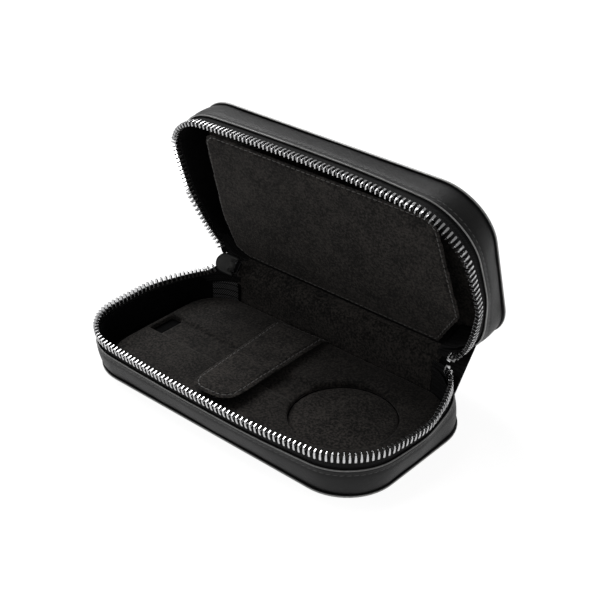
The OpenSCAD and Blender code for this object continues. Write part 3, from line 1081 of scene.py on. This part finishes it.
def recess_floor():
    """The suede disc on the recess's floor, a little crowned."""
    profile = [(0.35, 0.52), (0.7, 0.42), (0.9, 0.26), (0.97, 0.10), (1.0, -0.35), (0.9, -0.55)]
    cols = 72
    verts = []
    for share, z in profile:
        circle = arc_points(RECESS_X, RECESS_Y, (RECESS_R - 0.2 * MM) * share, 0, 355, cols - 1)
        verts += [(x, y, RECESS_HIGH[2] + z * MM) for x, y in circle]
    faces = ring_faces(len(profile), cols)
    for z, first in ((0.55, 0), (-0.55, len(verts) - cols)):
        verts.append((RECESS_X, RECESS_Y, RECESS_HIGH[2] + z * MM))
        faces += [[len(verts) - 1, first + j, first + (j + 1) % cols] for j in range(cols)]
    piece = add_piece("recess_suede", verts, faces, SUEDE, "suede")
    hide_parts("recess_pad")
    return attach(piece, "base")


# ---- The divider ----
DIVIDER_W = 145 * MM
DIVIDER_H = 79 * MM
DIVIDER_R = 9 * MM
DIVIDER_IN = 4 * MM
DIVIDER_T = 2.6 * MM
DIVIDER_LIFT = 4.8 * MM
DIVIDER_SEAM_Y = CASE_WID / 2 - 3.2 * MM
IN_DIVIDER = turned_open(LID_OPEN) @ Matrix.Translation((0, DIVIDER_SEAM_Y, BASE_H + DIVIDER_LIFT))


def divider_outline():
    """Seam on y = 0; the lower corners are cut back to clear the zip tape."""
    half = DIVIDER_W / 2
    arc_x = half - DIVIDER_IN - DIVIDER_R
    arc_y = DIVIDER_R - DIVIDER_H
    lower_left = [(11 * MM - half, 0), (3 * MM - half, -4 * MM), (-half, -26 * MM)]
    lower_right = [(half, -23 * MM), (half - 15 * MM, 0)]
    return (
        lower_left + arc_points(-arc_x, arc_y, DIVIDER_R, 185, 270, 9)
        + arc_points(arc_x, arc_y, DIVIDER_R, 270, 355, 9) + lower_right
    )


def divider():
    outline = divider_outline()
    piece = padded_panel("divider_suede", outline, DIVIDER_T, 1.3 * MM, 0.25)
    for side, word in ((-1, "front"), (1, "back")):
        panel_stitches(f"divider_{word}_stitches", piece, outline, DIVIDER_T, IN_DIVIDER, "divider", side)
    piece.data.transform(IN_DIVIDER)
    finish_piece(piece, SUEDE, "suede")
    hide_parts("divider_board", "divider_front_suede", "divider_back_suede")
    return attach(piece, "divider")


# ---- The retaining flap ----
FLAP_PLACE = Vector(JOINTS["flap_hinge"]["pos_m"])
FLAP_LEN = 69 * MM
FLAP_ROOT_W = 30 * MM
FLAP_TIP_W = 25 * MM
FLAP_TIP_R = 9 * MM
FLAP_T = 2.6 * MM
FLAP_TAIL = 5.5 * MM
IN_FLAP = (
    Matrix.Translation(FLAP_PLACE) @ Matrix.Rotation(math.radians(5), 4, "Z")
    @ Matrix.Rotation(math.radians(-2.5), 4, "X")
)


def flap_outline(tail=0.0):
    """Root on y = tail, tapering to a round-cornered tip."""
    tip_x = FLAP_TIP_W / 2 - FLAP_TIP_R
    tip_y = FLAP_TIP_R - FLAP_LEN
    half = FLAP_ROOT_W / 2
    return (
        [(-half, tail)] + arc_points(-tip_x, tip_y, FLAP_TIP_R, 180, 270, 9)
        + arc_points(tip_x, tip_y, FLAP_TIP_R, 270, 360, 9) + [(half, tail)]
    )


def flap_bend(co):
    """Thins the tail behind the hinge line and lays it down on the insert."""
    back = np.clip(co[:, 1], 0, None)
    thin = 1 - 0.6 * np.clip(back / FLAP_TAIL, 0, 1)
    co[:, 2] = co[:, 2] * thin - 0.35 * back
    return co


def flap():
    outline = flap_outline(FLAP_TAIL)
    piece = padded_panel("flap_suede", outline, FLAP_T, 0.9 * MM, 0.30)
    stitch_line = flap_outline(FLAP_TAIL + 1.0 * MM)
    stitches = panel_stitches("flap_stitches", piece, stitch_line, FLAP_T, Matrix.Identity(4), None, 1)
    for part in (piece, stitches):
        set_vertices(part, flap_bend(vertices_of(part)))
        part.data.transform(IN_FLAP)
    finish_piece(piece, SUEDE, "suede")
    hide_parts("flap_board", "flap_top_suede", "flap_under_suede", "flap_anchor")
    for part in (piece, stitches):
        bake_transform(part)
    return piece


# ---- The spine ----
def smooth_line(points, per_span=6):
    """A Catmull-Rom line through the points, which are (y, z)."""
    ends = [points[0]] + points + [points[-1]]
    line = []
    for i in range(1, len(ends) - 2):
        p0, p1, p2, p3 = (np.array(ends[i + k]) for k in (-1, 0, 1, 2))
        for k in range(per_span):
            t = k / per_span
            line.append(tuple(
                0.5 * (2 * p1 + (p2 - p0) * t + (2 * p0 - 5 * p1 + 4 * p2 - p3) * t ** 2
                       + (3 * p1 - p0 - 3 * p2 + p3) * t ** 3)
            ))
    return line + [points[-1]]


def opened(y, z):
    """A place on the closed case, y and z in millimetres, carried to the open lid."""
    point = turned_open(LID_OPEN) @ Vector((0, y * MM, z * MM))
    return point.y / MM, point.z / MM


def strip(name, line, half_len, thickness, material, slot, ripple):
    """A sheet that runs along X with the (y, z) line, in millimetres, as its section."""
    runs = max(2, round(2 * half_len / (2.0 * MM)))
    verts = []
    for x in even(-half_len, half_len, runs):
        for k, (y, z) in enumerate(line):
            lift = ripple * math.sin(x * 46 + k * 0.21) * math.sin(math.pi * k / (len(line) - 1))
            verts.append((x, y * MM - lift, z * MM + lift))
    faces = ring_faces(runs + 1, len(line), wrap_cols=False)
    piece = add_piece(name, verts, faces, material, slot)
    return modified(piece, "SOLIDIFY", thickness=thickness, offset=0)


def spine_sheet(name, back, base_points, lid_points, start, half_len, thickness, look, ripple):
    """A sheet from the base over the fold to the lid; points are (in front of back, height), in mm."""
    lid_points = [opened(back - y, HINGE_Z / MM + z) for y, z in lid_points]
    line = smooth_line([(back - y, z) for y, z in base_points] + lid_points)
    piece = strip(name, line, half_len, thickness, *look, ripple)
    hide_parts(f"base_{name}", f"lid_{name}")
    bend = ((back - start[0], start[1]), lid_points[1])
    start, end = (tuple(value * MM for value in (0, *point)) for point in bend)
    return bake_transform(piece)


def spine():
    """Suede from behind the insert up to the divider's seam, and the outer hide behind it."""
    spine_sheet(
        "spine_suede", HINGE_Y / MM,
        [(3.1, 3.4), (3.0, 8.0), (2.8, 13.0), (2.6, 18.0), (2.3, 21.2)],
        [(2.4, 1.6), (2.7, 3.4), (3.4, 5.2)], (2.6, 19.0),
        FRONT_RUN + 2.4 * MM, 0.7 * MM, (SUEDE, "suede"), 0.12 * MM,
    )
    spine_sheet(
        "spine_leather", HINGE_Y / MM - 1.45,
        [(0.0, 1.8), (0.0, 8.0), (0.0, 15.0), (0.0, 19.0), (-0.05, 21.2)],
        [(0.0, 1.6), (0.0, 4.0), (0.0, 12.0), (0.0, 20.6)], (0.0, 19.5),
        FRONT_RUN + 0.6 * MM, LEATHER_T, (LEATHER, "black_leather"), 0.0,
    )


# ---- Slider and pull ----
SLIDER_X = -67.2 * MM
SLIDER_Y = CASE_WID / 2 - 4.2 * MM
AT_SLIDER = (
    turned_open(LID_OPEN / 2) @ Matrix.Translation((SLIDER_X, SLIDER_Y, BASE_H))
    @ Matrix.Rotation(math.radians(18), 4, "Z")
)
PIN_PLACE = Vector((4.2 * MM, -4.0 * MM, 0))
TAB_REACH = 5.0 * MM
TAB_PLACE = PIN_PLACE + Vector((-TAB_REACH, 0, -0.6 * MM))
TAB_STRAIGHT = TAB_REACH - 1.25 * MM
TAB_R = 5.2 * MM
PRONG_LEN = 2.7 * MM


def pull_tab():
    """A leather tongue, round at its free end, with two prongs that reach round the slider's ears."""
    front = [(5.0, 0.80), (1.7, 0.80), (1.3, 0.66), (0.9, 0.78), (0.45, 0.72), (0.18, 0.50), (0.04, 0.20)]
    profile = front + [(0.0, 0.0)] + [(inset, -height) for inset, height in reversed(front)]
    verts = []
    for inset, height in profile:
        radius = TAB_R - inset * MM
        straight = TAB_STRAIGHT - min(inset, 1.2) * MM
        tip = straight + PRONG_LEN
        halfway = straight + 1.4 * MM
        grip = min(radius, 1.8 * MM)
        prong = min(radius, 3.35 * MM + inset * MM * 0.3)
        shape = arc_points(0, 0, radius, 90, 270, 24)
        for side in (-1, 1):
            edge = [
                (straight * 0.34, radius), (straight * 0.67, radius), (straight, radius),
                (halfway, radius), (tip, radius), (tip, prong), (halfway, prong),
                (straight, prong), (straight, grip), (halfway, grip), (tip, grip),
            ]
            points = [(x, side * z) for x, z in edge]
            shape += points if side < 0 else points[::-1]
        for x, z in shape:
            cup = 0.22 * MM * (z / TAB_R) ** 2
            round_ring = 1 + 0.85 * math.exp(-((x - TAB_REACH) / (1.5 * MM)) ** 2)
            verts.append((x, height * MM * round_ring + cup, z))
    rows = len(profile)
    cols = len(verts) // rows
    place = AT_SLIDER @ Matrix.Translation(TAB_PLACE)
    verts = [place @ Vector(v) for v in verts]
    # The tab's faces take the lighter copy of the leather, a painted highlight; its edge rings keep the
    # black leather.
    piece = add_piece("pull_tab_leather", verts, capped_rings(rows, cols), LIT_TAB_LEATHER, "edge_leather")
    paint_rings(piece, cols, 3, rows - 4, LEATHER)
    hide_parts("pull_tab")
    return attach(piece, "puller")


def metal_part(node, material, width):
    """A CAD part keeps its shape; its sharp edges are broken by a small bevel."""
    piece = frame["nodes"][node]
    give_material(piece, material)
    bevel = piece.modifiers.new("Bevel", "BEVEL")
    bevel.width = width
    bevel.segments = 3
    bevel.limit_method = "ANGLE"
    bevel.angle_limit = math.radians(35)
    return piece


# ---- Everything together ----
for half_name in HALVES:
    band_leather(half_name)
    band_stitches(half_name)
    for span_name in spans():
        zip_tape(half_name, span_name)
        zip_teeth(half_name, span_name)
    wall_lining(half_name)
    outer_panel(half_name)
    floor_cloth(half_name)
    give_material(frame["nodes"][f"{half_name}_board"], BOARD)

for side_name in SIDES:
    corner_web(side_name)
    corner_tape("base", side_name)
    corner_tape("lid", side_name)
insert_pad()
recess_floor()
divider()
flap()
spine()
pull_tab()
for part_name in ("zip_slider", "pull_ring", "zip_end_stop"):
    metal_part(part_name, DARK_METAL, 0.22 * MM)
for part_name in ("snap_stud", "snap_socket"):
    metal_part(part_name, SNAP_METAL, 0.15 * MM)

# ---- Floor, light and camera ----
FLOOR_REACH = 10
floor_graph = Graph("pale_floor")
floor_tones = [(0.2, (0.14, 0.14, 0.14)), (0.8, (0.16, 0.16, 0.16))]
floor_graph.set(
    Base_Color=floor_graph.ramp(floor_graph.noise(3.0), floor_tones),
    Roughness=0.6,
    Specular_IOR_Level=0.2,
    Emission_Color=(1.0, 1.0, 1.0, 1.0),
    Emission_Strength=0.92,
)
floor_corners = [(x, y, 0) for x, y in rectangle(-FLOOR_REACH, FLOOR_REACH, FLOOR_REACH)]
floor = add_piece("studio_floor", floor_corners, [[0, 1, 2, 3]], floor_graph.material, "suede")
del floor["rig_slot"]

world = bpy.data.worlds.new("studio")
world.use_nodes = True
background = world.node_tree.nodes["Background"].inputs
background["Color"].default_value = (1, 1, 1, 1)
background["Strength"].default_value = 0.34
bpy.context.scene.world = world


def soft_light(name, place, target, size, watts):
    light = bpy.data.lights.new(name, "AREA")
    light.shape = "SQUARE"
    light.size = size
    light.energy = watts
    lamp = bpy.data.objects.new(name, light)
    lamp.location = place
    lamp.rotation_euler = (Vector(target) - Vector(place)).to_track_quat("-Z", "Y").to_euler()
    bpy.context.scene.collection.objects.link(lamp)


MIDDLE = (0, 0, 40 * MM)
soft_light("top_light", (-0.60, 0.20, 0.90), MIDDLE, 0.7, 15.0)
soft_light("left_light", (-0.85, -0.55, 0.75), MIDDLE, 0.5, 1.6)
soft_light("front_light", (0.60, -0.95, 0.55), MIDDLE, 0.6, 1.8)

camera_data = bpy.data.cameras.new("camera")
camera_data.sensor_width = 36
camera_data.lens = 76.975
camera = bpy.data.objects.new("camera", camera_data)
VIEW_TURN = math.radians(41.517)
VIEW_TILT = math.radians(31.154)
camera.location = (0.333753, -0.358395, 0.344102)
camera.rotation_euler = (math.pi / 2 - VIEW_TILT, 0, VIEW_TURN)
bpy.context.scene.collection.objects.link(camera)
bpy.context.scene.camera = camera
bpy.context.scene.view_settings.view_transform = "Standard"

bpy.context.view_layer.update()
